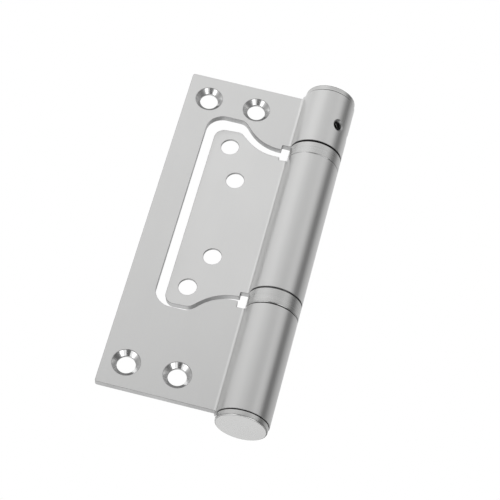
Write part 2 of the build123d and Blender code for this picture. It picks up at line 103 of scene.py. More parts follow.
def half_width(node):
    """Half of a round CAD node's width: its radius round the hinge axis, in metres."""
    low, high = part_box(node)
    return (high.x - low.x) / 2


def mount(name):
    """One of the hinge's mounts, as the record states it."""
    return next(m for m in frame["record"]["mounts"] if m["name"] == name)


BARREL_RADIUS = max(half_width("lower_ring"), half_width("upper_ring"))
SHEET_THICKNESS = 2 * mount("frame_leaf_back")["pos_m"][1]


class HingeFinishSettings(bpy.types.PropertyGroup):
    """Colours and wear of the hinge's metals and plastics, with painted shade on the joint faces
    and the slip washer and a painted glint on the chamfers.
    """

    sheet_colour: FloatVectorProperty(
        name="Sheet", description="Brushed stainless sheet of the leaves",
        subtype="COLOR", default=(0.77, 0.77, 0.765),
    )
    barrel_colour: FloatVectorProperty(
        name="Barrel", description="Ground stainless of the knuckles",
        subtype="COLOR", default=(0.66, 0.66, 0.655),
    )
    turned_colour: FloatVectorProperty(
        name="Turned steel", description="Lathe-turned stainless of rings and caps",
        subtype="COLOR", default=(0.60, 0.60, 0.595),
    )
    edge_colour: FloatVectorProperty(
        name="Sheared edge", description="Stamped edges of the sheet",
        subtype="COLOR", default=(0.53, 0.53, 0.53),
    )
    shear_colour: FloatVectorProperty(
        name="Cut-out edge", description="Smooth sheared wall of the frame leaf's cut-out",
        subtype="COLOR", default=(0.68, 0.68, 0.68),
    )
    sink_colour: FloatVectorProperty(
        name="Countersink", description="Machined walls of the screw holes",
        subtype="COLOR", default=(0.92, 0.92, 0.92),
    )
    # Near-black painted shade on the end faces inside the barrel's joints: it stands in for the
    # shadow in the gaps between rings, caps and knuckles.
    joint_shade_colour: FloatVectorProperty(
        name="Joint face shade", description="Painted shade on the end faces inside the joints of the barrel",
        subtype="COLOR", default=(0.12, 0.12, 0.12),
    )
    cylinder_colour: FloatVectorProperty(
        name="Inner steel", description="Ground steel of cylinder, piston and valve",
        subtype="COLOR", default=(0.50, 0.50, 0.51),
    )
    hard_colour: FloatVectorProperty(
        name="Hardened steel", description="Cam shaft, pins and races",
        subtype="COLOR", default=(0.42, 0.42, 0.43),
    )
    ball_colour: FloatVectorProperty(
        name="Ball", description="Polished balls of bearing, cam and valve",
        subtype="COLOR", default=(0.76, 0.76, 0.77),
    )
    black_colour: FloatVectorProperty(
        name="Black oxide", description="Set screws and retaining ring",
        subtype="COLOR", default=(0.035, 0.035, 0.037),
    )
    spring_colour: FloatVectorProperty(
        name="Spring wire", description="Drawn spring wire",
        subtype="COLOR", default=(0.38, 0.39, 0.41),
    )
    brass_colour: FloatVectorProperty(
        name="Brass", description="Turned brass of gland, end plug and speed screw",
        subtype="COLOR", default=(0.72, 0.53, 0.25),
    )
    nylon_colour: FloatVectorProperty(
        name="White nylon", description="Ball cage and slide washer",
        subtype="COLOR", default=(0.80, 0.79, 0.75),
    )
    # Near-black slip washer: a dark sheet in the gaps between the knuckles whose colour is
    # painted shade, standing in for the shadow in those gaps.
    slip_washer_shade_colour: FloatVectorProperty(
        name="Slip washer shade", description="Slip washer between the knuckles",
        subtype="COLOR", default=(0.03, 0.03, 0.032),
    )
    rubber_colour: FloatVectorProperty(
        name="Seal rubber", description="Nitrile of the seals",
        subtype="COLOR", default=(0.018, 0.018, 0.018),
    )


class HingeShapeSettings(bpy.types.PropertyGroup):
    """Small shapes that the stamping, turning and threading leave."""

    sheet_edge: FloatProperty(
        name="Sheet edge", description="Rounding of the stamped edges",
        unit="LENGTH", default=0.12 * MM,
    )
    turned_edge: FloatProperty(
        name="Turned edge", description="Rounding of the turned parts' edges",
        unit="LENGTH", default=0.08 * MM,
    )
    ball_count: IntProperty(
        name="Thrust balls", description="Balls in the bearing's cage", default=16,
    )
    screw_count: IntProperty(
        name="Set screws", description="Screws in the upper knuckle", default=2,
    )
    screw_angle: FloatProperty(
        name="First screw", description="Its angle from the leaf's front side",
        unit="ROTATION", default=math.radians(37),
    )
    screw_spacing: FloatProperty(
        name="Screw spacing", description="Angle from one set screw to the next",
        unit="ROTATION", default=math.radians(60),
    )
    screw_foot: FloatProperty(
        name="Screw point", description="Its distance from the hinge axis",
        unit="LENGTH", default=2.62 * MM,
    )
    screw_length: FloatProperty(
        name="Screw length", description="From point to socket face",
        unit="LENGTH", default=3.78 * MM,
    )
    thread_pitch: FloatProperty(
        name="Thread pitch", description="Rise of the set screw's thread in one turn",
        unit="LENGTH", default=0.5 * MM,
    )
    thread_depth: FloatProperty(
        name="Thread depth", description="From crest to root",
        unit="LENGTH", default=0.25 * MM,
    )
    socket_width: FloatProperty(
        name="Socket width", description="Across the flats of the hexagon socket",
        unit="LENGTH", default=1.5 * MM,
    )
    socket_depth: FloatProperty(
        name="Socket depth", description="Depth of the hexagon socket",
        unit="LENGTH", default=1.5 * MM,
    )
    return_wire: FloatProperty(
        name="Return spring wire", description="Half of the wire's thickness",
        unit="LENGTH", default=0.75 * MM,
    )
    return_turns: FloatProperty(
        name="Return spring turns", description="Turns of the coil", default=8.0,
    )
    check_wire: FloatProperty(
        name="Check spring wire", description="Half of the wire's thickness",
        unit="LENGTH", default=0.15 * MM,
    )
    check_turns: FloatProperty(
        name="Check spring turns", description="Turns of the coil", default=3.0,
    )


class HingeStageSettings(bpy.types.PropertyGroup):
    """Camera, lamps and floor."""

    camera_place: FloatVectorProperty(
        name="Camera", description="Where the camera stands",
        subtype="TRANSLATION", unit="LENGTH", default=(0.03406, -0.54992, -0.25501),
    )
    camera_aim: FloatVectorProperty(
        name="Aim", description="What the camera looks at",
        subtype="TRANSLATION", unit="LENGTH", default=(-0.01197, -0.00900, 0.05892),
    )
    camera_roll: FloatProperty(
        name="Roll", description="Turn of the camera about its line of sight",
        unit="ROTATION", default=math.radians(16.025),
    )
    lens: FloatProperty(
        name="Lens", description="Focal length in millimetres", default=137.32,
    )
    world_light: FloatProperty(
        name="World", description="Strength of the even light from all sides", default=0.8,
    )
    floor_glow: FloatProperty(
        name="Floor glow", description="What lifts the floor's colour to the backdrop's",
        default=0.3,
    )


def add(tree, kind, inputs=None, **settings):
    """One node; inputs are sockets' values or the outputs that feed them."""
    made = tree.nodes.new(kind)
    for name, value in settings.items():
        setattr(made, name, value)
    for name, value in (inputs or {}).items():
        socket = made.inputs[name]
        if isinstance(value, bpy.types.NodeSocket):
            tree.links.new(value, socket)
        else:
            socket.default_value = value
    return made


def maths(tree, operation, *values):
    """Result of a Math node."""
    made = add(tree, "ShaderNodeMath", dict(enumerate(values)), operation=operation)
    return made.outputs["Value"]


def vector_maths(tree, operation, *values):
    """The Vector Math node of those inputs."""
    return add(tree, "ShaderNodeVectorMath", dict(enumerate(values)), operation=operation)


def new_material(name, roughness, metallic=1.0):
    """A material and its tree, shader and Object coordinates."""
    material = bpy.data.materials.new(name)
    material.use_nodes = True
    tree = material.node_tree
    shader = tree.nodes["Principled BSDF"]
    shader.inputs["Metallic"].default_value = metallic
    shader.inputs["Roughness"].default_value = roughness
    place = add(tree, "ShaderNodeTexCoord").outputs["Object"]
    return material, tree, shader, place


def grain(tree, place, per_metre, detail=2.0):
    """Noise with its own density along X, Y and Z, from 0 to 1."""
    mapped = add(tree, "ShaderNodeMapping", {"Vector": place, "Scale": per_metre})
    vector = mapped.outputs["Vector"]
    noise = add(tree, "ShaderNodeTexNoise", {"Vector": vector, "Scale": 1.0, "Detail": detail})
    return noise.outputs["Fac"]


def spread(tree, value, low, high):
    """Maps 0 to 1 onto low to high."""
    mapped = add(tree, "ShaderNodeMapRange", {"Value": value, "To Min": low, "To Max": high})
    return mapped.outputs["Result"]


def average(tree, first, second, share=0.5):
    """Mix of two values."""
    mixed = add(tree, "ShaderNodeMix", {"Factor": share, "A": first, "B": second})
    return mixed.outputs["Result"]


def tint(tree, shader, colour, pattern, contrast):
    """Feeds the shader a colour that the pattern makes darker and lighter."""
    dark = [c * (1 - contrast) for c in colour] + [1.0]
    light = [min(1.0, c * (1 + contrast)) for c in colour] + [1.0]
    mixed = add(tree, "ShaderNodeMix", data_type="RGBA")
    tree.links.new(pattern, mixed.inputs["Factor"])
    mixed.inputs["A"].default_value = dark
    mixed.inputs["B"].default_value = light
    tree.links.new(mixed.outputs["Result"], shader.inputs["Base Color"])


def roughen(tree, shader, pattern, low, high):
    """Feeds the shader a roughness that follows the pattern."""
    tree.links.new(spread(tree, pattern, low, high), shader.inputs["Roughness"])


def emboss(tree, shader, pattern, depth, strength):
    """Feeds the shader a bump of that real depth."""
    sizes = {"Height": pattern, "Distance": depth, "Strength": strength}
    bump = add(tree, "ShaderNodeBump", sizes)
    tree.links.new(bump.outputs["Normal"], shader.inputs["Normal"])


def round_tangent(tree, shader, place, amount):
    """Stretches highlights across scratches that run round the hinge axis."""
    turn = vector_maths(tree, "CROSS_PRODUCT", HINGE_AXIS, place).outputs["Vector"]
    unit = vector_maths(tree, "NORMALIZE", turn)
    tree.links.new(unit.outputs["Vector"], shader.inputs["Tangent"])
    shader.inputs["Anisotropic"].default_value = amount


def sheet_material(name, colour):
    """Satin sheet with fine scratches along the leaf and faint clouding."""
    material, tree, shader, place = new_material(name, roughness=0.34)
    scratches = grain(tree, place, (2600, 2600, 45), detail=3.0)
    clouds = grain(tree, place, (55, 55, 38))
    tint(tree, shader, colour, average(tree, scratches, clouds, share=0.6), contrast=0.05)
    roughen(tree, shader, scratches, low=0.28, high=0.42)
    emboss(tree, shader, scratches, depth=0.004 * MM, strength=0.5)
    return material


def barrel_material(name, colour):
    """Ground and lightly polished surface with fine lines along the hinge axis."""
    material, tree, shader, place = new_material(name, roughness=0.3)
    lines = grain(tree, place, (1500, 1500, 30))
    clouds = grain(tree, place, (90, 90, 30))
    tint(tree, shader, colour, average(tree, lines, clouds), contrast=0.03)
    roughen(tree, shader, lines, low=0.27, high=0.35)
    emboss(tree, shader, lines, depth=0.001 * MM, strength=0.4)
    return material


def edge_material(name, colour):
    """Sheared edge: fine tears across it and uneven wear along it."""
    material, tree, shader, place = new_material(name, roughness=0.45)
    tears = grain(tree, place, (1500, 260, 1500), detail=3.0)
    wear = grain(tree, place, (95, 95, 95), detail=1.0)
    tint(tree, shader, colour, average(tree, tears, wear, share=0.6), contrast=0.42)
    roughen(tree, shader, tears, low=0.34, high=0.58)
    emboss(tree, shader, tears, depth=0.02 * MM, strength=0.6)
    return material


def sink_material(name, colour):
    """Countersink walls with the cutter's fine rings."""
    material, tree, shader, place = new_material(name, roughness=0.14)
    rings = grain(tree, place, (200, 5000, 200))
    tint(tree, shader, colour, rings, contrast=0.05)
    roughen(tree, shader, rings, low=0.13, high=0.21)
    emboss(tree, shader, rings, depth=0.001 * MM, strength=0.4)
    return material


def turned_material(name, colour, roughness=0.26, density=2200, contrast=0.12):
    """Lathe finish: fine rings round the hinge axis on faces and sides."""
    material, tree, shader, place = new_material(name, roughness)
    lines = grain(tree, place, (40, 40, density))
    flat = vector_maths(tree, "MULTIPLY", place, (1.0, 1.0, 0.0)).outputs["Vector"]
    distance = vector_maths(tree, "LENGTH", flat).outputs["Value"]
    outward = add(tree, "ShaderNodeCombineXYZ", {"X": distance}).outputs["Vector"]
    rings = grain(tree, outward, (density, 1, 1))
    both = average(tree, lines, rings)
    tint(tree, shader, colour, both, contrast)
    roughen(tree, shader, both, low=0.8 * roughness, high=1.3 * roughness)
    emboss(tree, shader, both, depth=0.003 * MM, strength=0.5)
    round_tangent(tree, shader, place, amount=0.3)
    return material


def plain_metal(name, colour, roughness, contrast=0.08):
    """Polished or drawn metal with faint clouding."""
    material, tree, shader, place = new_material(name, roughness)
    clouds = grain(tree, place, (420, 420, 420), detail=3.0)
    tint(tree, shader, colour, clouds, contrast)
    roughen(tree, shader, clouds, low=0.8 * roughness, high=1.3 * roughness)
    emboss(tree, shader, clouds, depth=0.002 * MM, strength=0.4)
    return material


def moulded_material(name, colour, roughness):
    """Moulded plastic or rubber with a fine tooth."""
    material, tree, shader, place = new_material(name, roughness, metallic=0.0)
    tooth = grain(tree, place, (2200, 2200, 2200))
    tint(tree, shader, colour, tooth, contrast=0.12)
    roughen(tree, shader, tooth, low=0.85 * roughness, high=1.15 * roughness)
    emboss(tree, shader, tooth, depth=0.006 * MM, strength=0.5)
    return material


def ball_material(name, finish):
    """Polished steel of the bearing's and the cam's balls."""
    return plain_metal(name, finish.ball_colour, roughness=0.06, contrast=0.02)


def black_material(name, finish):
    """Black oxide on small steel parts."""
    return plain_metal(name, finish.black_colour, roughness=0.35, contrast=0.3)


def slot_materials(finish):
    """The finish of each material slot of the CAD nodes that stay in view."""
    return {
        "hardened_steel": turned_material(
            "hardened_steel", finish.hard_colour, roughness=0.22, density=4200
        ),
        "ground_steel": turned_material(
            "ground_steel", finish.cylinder_colour, roughness=0.2, density=5200
        ),
        "turned_brass": turned_material(
            "turned_brass", finish.brass_colour, roughness=0.24, density=3800
        ),
        "ball_steel": ball_material("ball_steel", finish),
        "black_steel": black_material("black_steel", finish),
        "white_nylon": moulded_material("white_nylon", finish.nylon_colour, roughness=0.45),
        # The slip washer's near-black colour is painted shade for the gap between the knuckles.
        "dark_nylon": moulded_material("dark_nylon", finish.slip_washer_shade_colour, roughness=0.4),
        "seal_rubber": moulded_material("seal_rubber", finish.rubber_colour, roughness=0.5),
    }


def new_object(name, data):
    """An object in the scene's own collection."""
    made = bpy.data.objects.new(name, data)
    bpy.context.scene.collection.objects.link(made)
    return made


def welded_copy(node, name):
    """A CAD node's loose triangles as one welded mesh, in a new object at the origin."""
    mesh = frame["nodes"][node].data.copy()
    mesh.name = name
    if "custom_normal" in mesh.attributes:
        mesh.attributes.remove(mesh.attributes["custom_normal"])
    mesh.materials.clear()
    work = bmesh.new()
    work.from_mesh(mesh)
    bmesh.ops.remove_doubles(work, verts=work.verts, dist=WELD_DISTANCE)
    bmesh.ops.dissolve_limit(work, angle_limit=FLAT_ANGLE, verts=work.verts, edges=work.edges)
    work.to_mesh(mesh)
    work.free()
    mesh.shade_smooth()
    mesh.set_sharp_from_angle(angle=SMOOTH_ANGLE)
    return new_object(name, mesh)


def round_edges(piece, width, is_round, finish=-1, slide=True):
    """Breaks the sharp edges, apart from those that the CAD part has rounded already.

    is_round(point) is true on those. finish is the material index of the new faces, and
    slide the modifier's setting of that name.
    """
    mesh = piece.data
    weights = mesh.attributes.new("bevel_weight_edge", "FLOAT", "EDGE")
    for edge in mesh.edges:
        if edge.use_edge_sharp:
            ends = [mesh.vertices[index].co for index in edge.vertices]
            edge.use_edge_sharp = not is_round((ends[0] + ends[1]) / 2)
            weights.data[edge.index].value = float(edge.use_edge_sharp)
    bevel = piece.modifiers.new("broken edges", "BEVEL")
    bevel.width = width
    bevel.segments = EDGE_SEGMENTS
    bevel.limit_method = "WEIGHT"
    bevel.use_clamp_overlap = False
    bevel.loop_slide = slide
    bevel.material = finish
    even = piece.modifiers.new("even shading", "WEIGHTED_NORMAL")
    even.keep_sharp = True


def evaluated_mesh(piece):
    """The piece's mesh as its modifiers make it, as a plain mesh of its own."""
    graph = bpy.context.evaluated_depsgraph_get()
    mesh = bpy.data.meshes.new_from_object(piece.evaluated_get(graph), depsgraph=graph)
    piece.modifiers.clear()
    return mesh


def exact_normal(face, corner, plane):
    """True normal at a corner of a flat or of a wall round the hinge axis, else None."""
    if max(abs(face.normal.z), abs(face.normal.dot(plane))) > EXACT_FACING:
        return face.normal
    middle = Vector((face.center.x, face.center.y, 0.0))
    side = face.normal.dot(middle.normalized())
    if abs(side) < ROUND_FACING or middle.length > BARREL_RADIUS:
        return None
    return Vector((corner.x, corner.y, 0.0)).normalized() * math.copysign(1.0, side)


def settle(piece, plane=Vector(HINGE_AXIS)):
    """Makes the modifiers' result the piece's own mesh and sets its flats and rounds true."""
    mesh = evaluated_mesh(piece)
    piece.data = mesh
    normals = [Vector(corner.vector) for corner in mesh.corner_normals]
    for face in mesh.polygons:
        for loop in face.loop_indices:
            corner = mesh.vertices[mesh.loops[loop].vertex_index].co
            normals[loop] = exact_normal(face, corner, plane) or normals[loop]
    mesh.normals_split_custom_set(normals)


def body_of_node(node):
    """The body that a CAD node rides on."""
    return frame["nodes"][node]["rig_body"]


def stand_for(piece, node):
    """The finished piece rides on the node's body and is shown in its place."""
    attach(piece, body_of_node(node))
    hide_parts(node)


def hole_lines(mount_names):
    """Axes of the screw holes that these bolt patterns state, as (point, direction)."""
    lines = []
    for name in mount_names:
        stated = mount(name)
        axis = Vector(stated["axis"])
        centre = Vector(stated["pos_m"])
        up = Vector(HINGE_AXIS)
        side = axis.cross(up).normalized()
        half = {name: size / 2 * MM for name, size in stated["dims"].items()}
        if "pcd_mm" in half:
            steps = [up * (sign * half["pcd_mm"]) for sign in (-1, 1)]
        else:
            steps = [
                side * (across * half["spacing_x_mm"]) + up * (along * half["spacing_y_mm"])
                for across in (-1, 1)
                for along in (-1, 1)
            ]
        lines += [(centre + step, axis) for step in steps]
    return lines


def distance_to_line(point, line):
    """Shortest way from a point to a hole's axis."""
    start, direction = line
    offset = point - start
    return (offset - offset.dot(direction) * direction).length


SHEET, BARREL, EDGE, COUNTERSINK, CUT_OUT = range(5)
SHEET_FACING = 0.95
COUNTERSINK_FACING = 0.3
COUNTERSINK_REACH = 4.8 * MM
CUT_OUT_FACING = 0.2
CUT_OUT_MARGIN = 5 * MM
BEND_REACH = 1.1 * MM
BEND_START = 0.05 * MM
BEND_FACING = 0.35
SCREW_BAND = [corner.z + side * MM for side, corner in zip((-1, 1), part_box("lock_screws"))]
SCREW_WALL_FACING = 0.9
SIDE_FACING = 0.5


def rolled_face_kind(face, across):
    """Kind of a face in the barrel or its bend: the bend keeps the sheet's finish."""
    centre = face.center
    outward = Vector((centre.x, centre.y, 0.0))
    if centre.x < 0 and outward.length > BARREL_RADIUS + BEND_START and across > BEND_FACING:
        return SHEET
    low, high = SCREW_BAND
    facing = abs(face.normal.dot(outward.normalized()))
    if centre.x > 0 and low < centre.z < high and facing < SCREW_WALL_FACING:
        return EDGE
    return BARREL if abs(face.normal.z) < SIDE_FACING else EDGE


def leaf_face_kind(face, normal, holes, cut_out):
    """Kind of a leaf's face: a drilled wall counts as an edge."""
    across = abs(face.normal.dot(normal))
    centre = face.center
    if across > SHEET_FACING and abs(centre.dot(normal)) < SHEET_THICKNESS:
        return SHEET
    at_hole = any(distance_to_line(centre, line) < COUNTERSINK_REACH for line in holes)
    if at_hole and across > COUNTERSINK_FACING:
        return COUNTERSINK
    if math.hypot(centre.x, centre.y) < BARREL_RADIUS + BEND_REACH:
        return rolled_face_kind(face, across)
    if cut_out and cut_out[0] < centre.z < cut_out[1] and abs(face.normal.z) > CUT_OUT_FACING:
        return CUT_OUT
    return EDGE


LEAVES = {
    "frame_leaf": ("stamped_frame_leaf", "frame_leaf_screws", ["frame_leaf_screws"]),
    "door_leaf": (
        "stamped_door_leaf",
        "door_leaf_far_screws",
        ["door_leaf_far_screws", "door_leaf_near_screws"],
    ),
}


def make_leaf(node, materials, shape):
    """A leaf with a finish on each kind of face and its edges broken."""
    name, facing, patterns = LEAVES[node]
    piece = welded_copy(node, name)
    for material in materials:
        piece.data.materials.append(material)
    normal = Vector(mount(facing)["axis"])
    holes = hole_lines(patterns)
    low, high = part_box(node)
    cut_out = (low.z + CUT_OUT_MARGIN, high.z - CUT_OUT_MARGIN) if node == "frame_leaf" else None
    for face in piece.data.polygons:
        face.material_index = leaf_face_kind(face, normal, holes, cut_out)
    # The rounded edges take the darker sheared-edge finish: partly the sheet's real rough edge,
    # partly a painted dark outline that stands in for the dark reflection along each rounded
    # edge.
    round_edges(piece, shape.sheet_edge, lambda spot: False, finish=EDGE, slide=False)
    settle(piece, normal)
    stand_for(piece, node)


class HINGE_OT_leaves(bpy.types.Operator):
    """Both stamped leaves with their rolled knuckles"""

    bl_idname = "hinge.leaves"
    bl_label = "Leaves"

    def execute(self, context):
        finish = context.scene.hinge_finish
        materials = [
            sheet_material("leaf_sheet", finish.sheet_colour),
            barrel_material("leaf_barrel", finish.barrel_colour),
            edge_material("leaf_edge", finish.edge_colour),
            sink_material("leaf_holes", finish.sink_colour),
            edge_material("leaf_cut_out", finish.shear_colour),
        ]
        for node in LEAVES:
            make_leaf(node, materials, context.scene.hinge_shape)
        return {"FINISHED"}


TURNED_PIECES = {
    "top_cap": "turned_top_cap",
    "bottom_cap": "turned_bottom_cap",
    "upper_ring": "upper_wear_ring",
    "lower_ring": "lower_wear_ring",
}
OUTER_ENDS = {"top_cap": CAD_BOX[1][2], "bottom_cap": CAD_BOX[0][2]}
SIDE, CHAMFER, OUTER_END, JOINT_END = range(4)
END_FACING = 0.9
END_FACE_BAND = 0.01 * MM
RIM_HEIGHT = 0.5 * MM


def turned_face_kind(face, outer):
    """Kind of a turned piece's face; a joint end lies inside the barrel and takes the painted
    shade of the gaps.
    """
    upright = abs(face.normal.z)
    if upright < SIDE_FACING:
        return SIDE
    if upright < END_FACING:
        # Chamfers get the lighter finish below: a painted glint along the rims.
        return CHAMFER
    return OUTER_END if abs(face.center.z - outer) < END_FACE_BAND else JOINT_END


def make_turned_piece(node, name, materials, shape):
    """A cap or ring with a finish on each kind of face and its edges broken."""
    piece = welded_copy(node, name)
    for material in materials:
        piece.data.materials.append(material)
    outer = OUTER_ENDS.get(node, math.inf)
    for face in piece.data.polygons:
        face.material_index = turned_face_kind(face, outer)
    round_edges(piece, shape.turned_edge, lambda spot: abs(spot.z - outer) < RIM_HEIGHT)
    settle(piece)
    stand_for(piece, node)


class HINGE_OT_turned_parts(bpy.types.Operator):
    """End caps and wear rings"""

    bl_idname = "hinge.turned_parts"
    bl_label = "Caps and rings"

    def execute(self, context):
        finish = context.scene.hinge_finish
        materials = [
            turned_material("turned_sides", finish.turned_colour, contrast=0.22),
            # Chamfers take the lighter sheet colour: a painted glint along the rings' and caps'
            # chamfered rims.
            turned_material("turned_chamfers_painted_glint", finish.sheet_colour, roughness=0.2),
            turned_material("cap_end_faces", finish.turned_colour),
            # Joint end faces: painted shade that stands in for the shadow in the barrel's gaps.
            plain_metal("turned_joint_faces_painted_shade", finish.joint_shade_colour, roughness=0.4),
        ]
        for node, name in TURNED_PIECES.items():
            make_turned_piece(node, name, materials, context.scene.hinge_shape)
        return {"FINISHED"}


BALL_SUBDIVISIONS = 4


def node_group(name, inputs):
    """A Geometry Nodes group with named inputs: the group, its given values and its result."""
    group = bpy.data.node_groups.new(name, "GeometryNodeTree")
    for label, kind in inputs.items():
        group.interface.new_socket(label, in_out="INPUT", socket_type=kind)
    group.interface.new_socket("Geometry", in_out="OUTPUT", socket_type="NodeSocketGeometry")
    given = add(group, "NodeGroupInput").outputs
    result = add(group, "NodeGroupOutput").inputs["Geometry"]
    return group, given, result


def finish_group(group, placed, material, result):
    """Makes the instances real and gives them their material."""
    real = add(group, "GeometryNodeRealizeInstances", {"Geometry": placed}).outputs["Geometry"]
    coated = add(group, "GeometryNodeSetMaterial", {"Geometry": real, "Material": material})
    group.links.new(coated.outputs["Geometry"], result)


def raised(group, geometry, height):
    """The geometry, moved up by that height."""
    rise = add(group, "ShaderNodeCombineXYZ", {"Z": height}).outputs["Vector"]
    moved = add(group, "GeometryNodeSetPosition", {"Geometry": geometry, "Offset": rise})
    return moved.outputs["Geometry"]


def ball_row_group():
    """Balls on a circle round the hinge axis."""
    group, given, result = node_group("ball_row", {
        "Count": "NodeSocketInt",
        "Orbit": "NodeSocketFloat",
        "Height": "NodeSocketFloat",
        "Ball radius": "NodeSocketFloat",
        "Material": "NodeSocketMaterial",
    })
    circle = add(
        group, "GeometryNodeMeshCircle", {"Vertices": given["Count"], "Radius": given["Orbit"]}
    )
    ball = add(
        group,
        "GeometryNodeMeshIcoSphere",
        {"Radius": given["Ball radius"], "Subdivisions": BALL_SUBDIVISIONS},
    )
    smooth = add(group, "GeometryNodeSetShadeSmooth", {0: ball.outputs["Mesh"]})
    centres = raised(group, circle.outputs["Mesh"], given["Height"])
    placed = add(
        group,
        "GeometryNodeInstanceOnPoints",
        {"Points": centres, "Instance": smooth.outputs[0]},
    )
    finish_group(group, placed.outputs["Instances"], given["Material"], result)
    return group


def screw_row_group():
    """Screws that point away from the hinge axis, evenly spaced round it."""
    group, given, result = node_group("screw_row", {
        "Screw": "NodeSocketObject",
        "Count": "NodeSocketInt",
        "First angle": "NodeSocketFloat",
        "Angle step": "NodeSocketFloat",
        "Reach": "NodeSocketFloat",
        "Height": "NodeSocketFloat",
        "Material": "NodeSocketMaterial",
    })
    index = add(group, "GeometryNodeInputIndex").outputs["Index"]
    angle = maths(group, "MULTIPLY_ADD", index, given["Angle step"], given["First angle"])
    across = maths(group, "MULTIPLY", maths(group, "SINE", angle), given["Reach"])
    along = maths(group, "MULTIPLY", maths(group, "COSINE", angle), given["Reach"])
    back = maths(group, "MULTIPLY", along, -1.0)
    spot = add(group, "ShaderNodeCombineXYZ", {"X": across, "Y": back, "Z": given["Height"]})
    points = add(
        group,
        "GeometryNodePoints",
        {"Count": given["Count"], "Position": spot.outputs["Vector"]},
    )
    turn = add(group, "ShaderNodeCombineXYZ", {"X": math.pi / 2, "Z": angle})
    facing = add(group, "FunctionNodeEulerToRotation", {"Euler": turn.outputs["Vector"]})
    screw = add(group, "GeometryNodeObjectInfo", {"Object": given["Screw"]})
    placed = add(
        group,
        "GeometryNodeInstanceOnPoints",
        {
            "Points": points.outputs[0],
            "Instance": screw.outputs["Geometry"],
            "Rotation": facing.outputs["Rotation"],
        },
    )
    finish_group(group, placed.outputs["Instances"], given["Material"], result)
    return group


def plain_piece(name, group, values):
    """The group's result, kept as a plain mesh in an object at the origin."""
    source = new_object(name, bpy.data.meshes.new(name))
    modifier = source.modifiers.new(name, "NODES")
    modifier.node_group = group
    for socket in group.interface.items_tree:
        if socket.in_out == "INPUT":
            modifier[socket.identifier] = values[socket.name]
    source.data = evaluated_mesh(source)
    if not source.data.polygons:
        raise RuntimeError(name + " came out empty")
    return source


class HINGE_OT_thrust_balls(bpy.types.Operator):
    """Balls of the thrust bearing inside the lower ring"""

    bl_idname = "hinge.thrust_balls"
    bl_label = "Thrust balls"

    def execute(self, context):
        low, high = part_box("thrust_balls")
        radius = (high.z - low.z) / 2
        piece = plain_piece("polished_thrust_balls", ball_row_group(), {
            "Count": context.scene.hinge_shape.ball_count,
            "Orbit": (high.x - low.x) / 2 - radius,
            "Height": (high.z + low.z) / 2,
            "Ball radius": radius,
            "Material": ball_material("thrust_ball_steel", context.scene.hinge_finish),
        })
        stand_for(piece, "thrust_balls")
        return {"FINISHED"}


SCREW_COLUMNS = 48
ROWS_PER_TURN = 10
POINT_STEP = 1.5


def thread_radius(crest, depth, turns, angle):
    """Radius of a sharp thread at that height, in turns, and angle."""
    place = (turns - angle / math.tau) % 1.0
    return crest - depth * (1.0 - abs(2.0 * place - 1.0))


def hexagon_reach(width, angle):
    """Distance from a hexagon's centre to its side at that angle."""
    sixth = math.tau / 6
    return width / 2 / math.cos((angle + sixth / 2) % sixth - sixth / 2)


def screw_rows(shape, crest):
    """The set screw's surface from point to socket floor, as (height, radius of angle) rows."""
    length, pitch, depth = shape.screw_length, shape.thread_pitch, shape.thread_depth
    first, last = depth, length - depth / 2
    count = round((last - first) / pitch * ROWS_PER_TURN)
    rows = [(0.0, lambda angle: crest - POINT_STEP * depth)]
    for i in range(count + 1):
        z = first + (last - first) * i / count
        rows.append((z, lambda angle, z=z: thread_radius(crest, depth, z / pitch, angle)))
    rows.append((length, lambda angle: crest - depth))
    rows.append((length, lambda angle: hexagon_reach(shape.socket_width, angle)))
    rows.append((length - shape.socket_depth, rows[-1][1]))
    return rows


def polar_mesh(name, rows):
    """Closed skin over rows of points round the Z axis."""
    work = bmesh.new()
    rings = []
    for z, radius in rows:
        ring = []
        for k in range(SCREW_COLUMNS):
            angle = math.tau * k / SCREW_COLUMNS
            reach = radius(angle)
            ring.append(work.verts.new((reach * math.cos(angle), reach * math.sin(angle), z)))
        rings.append(ring)
    for lower, upper in zip(rings, rings[1:]):
        for k in range(SCREW_COLUMNS):
            following = (k + 1) % SCREW_COLUMNS
            work.faces.new((lower[k], lower[following], upper[following], upper[k]))
    work.faces.new(list(reversed(rings[0])))
    work.faces.new(rings[-1])
    mesh = bpy.data.meshes.new(name)
    work.to_mesh(mesh)
    work.free()
    mesh.shade_smooth()
    mesh.set_sharp_from_angle(angle=SMOOTH_ANGLE)
    return mesh


class HINGE_OT_set_screws(bpy.types.Operator):
    """Threaded set screws with a hexagon socket in the upper knuckle"""

    bl_idname = "hinge.set_screws"
    bl_label = "Set screws"

    def execute(self, context):
        shape = context.scene.hinge_shape
        low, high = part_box("lock_screws")
        crest = (high.z - low.z) / 2
        skin = polar_mesh("screw", screw_rows(shape, crest))
        pattern = bpy.data.objects.new("screw_pattern", skin)
        piece = plain_piece("black_set_screws", screw_row_group(), {
            "Screw": pattern,
            "Count": shape.screw_count,
            "First angle": shape.screw_angle,
            "Angle step": shape.screw_spacing,
            "Reach": shape.screw_foot,
            "Height": (high.z + low.z) / 2,
            "Material": black_material("set_screw_steel", context.scene.hinge_finish),
        })
        bpy.data.objects.remove(pattern)
        stand_for(piece, "lock_screws")
        return {"FINISHED"}


COIL_STEPS = 48
WIRE_SIDES = 16


